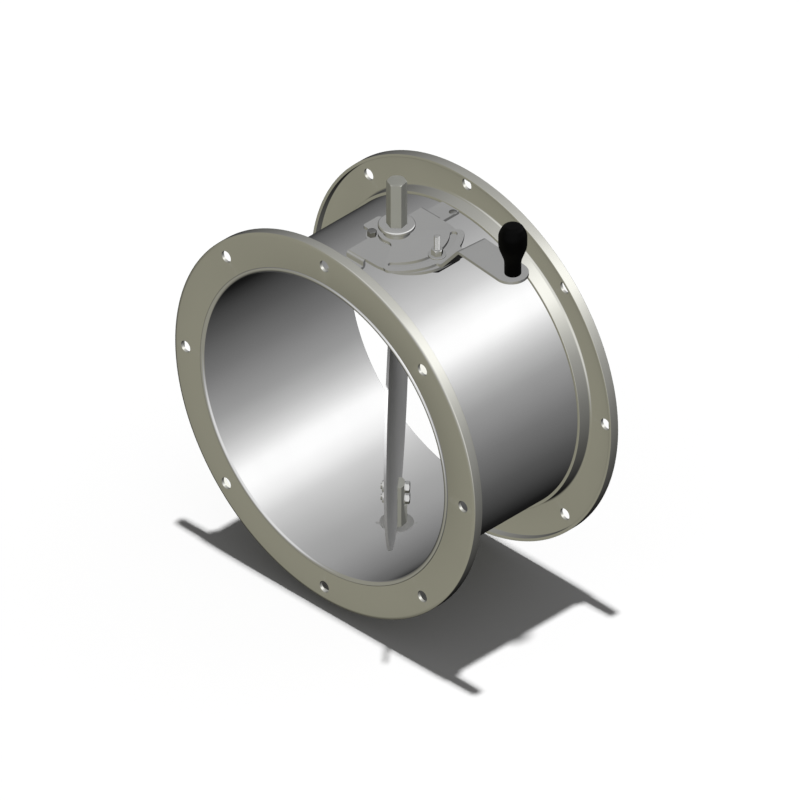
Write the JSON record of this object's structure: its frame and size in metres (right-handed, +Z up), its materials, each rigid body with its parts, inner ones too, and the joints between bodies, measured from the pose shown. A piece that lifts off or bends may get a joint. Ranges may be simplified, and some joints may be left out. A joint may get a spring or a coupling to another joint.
{
  "type": "round control damper",
  "caption": "Flanged round duct section with a pivoting round blade, turned by a hand lever whose slotted sector locks with a nut.",
  "frame": {"origin": "centre of the front flange's bolting face, on the duct's axis", "axes": "+Y along the duct from the front flange to the rear flange, +Z up along the blade's shaft towards the lever, +X to the right"},
  "size_m": [0.394, 0.2348, 0.4535],
  "materials": {
    "duct_sheet": "smooth bright rolled sheet",
    "flange_steel": "satin olive grey coat",
    "bracket_steel": "zinc plated, satin",
    "lever_steel": "zinc plated, satin",
    "blade_steel": "dull rolled sheet",
    "bar_steel": "drawn hexagon bar, dull",
    "screw_steel": "bright zinc plated",
    "black_moulding": "fine moulded grain",
    "bush_plastic": "natural bearing plastic",
    "seal_rubber": "soft black sheet",
    "knob_plastic": "smooth black moulding",
    "housing_metal": "plain cast and turned"
  },
  "bodies": {
    "duct": {"duct_shell": "duct_sheet", "front_flange": "flange_steel", "rear_flange": "flange_steel", "saddle_gasket": "seal_rubber", "bearing_saddle": "black_moulding", "quadrant_bracket": "bracket_steel", "bracket_rivets": "screw_steel", "bracket_screws": "screw_steel", "locking_stud": "screw_steel", "clamp_washer": "screw_steel", "lower_housing_gasket": "seal_rubber", "lower_bearing_housing": "housing_metal", "lower_end_cap": "housing_metal", "lower_housing_screws": "screw_steel"},
    "blade": {"blade_disc": "blade_steel", "upper_shaft": "bar_steel", "lower_shaft": "bar_steel", "blade_bolts": "screw_steel", "blade_washers": "screw_steel", "blade_nuts": "screw_steel", "upper_bush": "bush_plastic", "lower_bush": "bush_plastic", "lower_retaining_ring": "screw_steel", "friction_washer": "bush_plastic", "lever_plate": "lever_steel", "lever_hub": "lever_steel", "hub_set_screw": "screw_steel", "hub_collar": "lever_steel", "knob": "knob_plastic", "knob_screw": "screw_steel"},
    "lock_nut": {"lock_nut": "screw_steel"}
  },
  "joints": [
    {"name": "blade_turn", "type": "hinge", "parent": "duct", "child": "blade", "pos_m": [0, 0.095, 0], "axis": [0, 0, 1], "range_deg": [-41, 49]},
    {"name": "lock_nut_turn", "type": "hinge", "parent": "duct", "child": "lock_nut", "pos_m": [0.053, 0.095, 0.178], "axis": [0, 0, 1], "range_deg": [0, 360]}
  ]
}
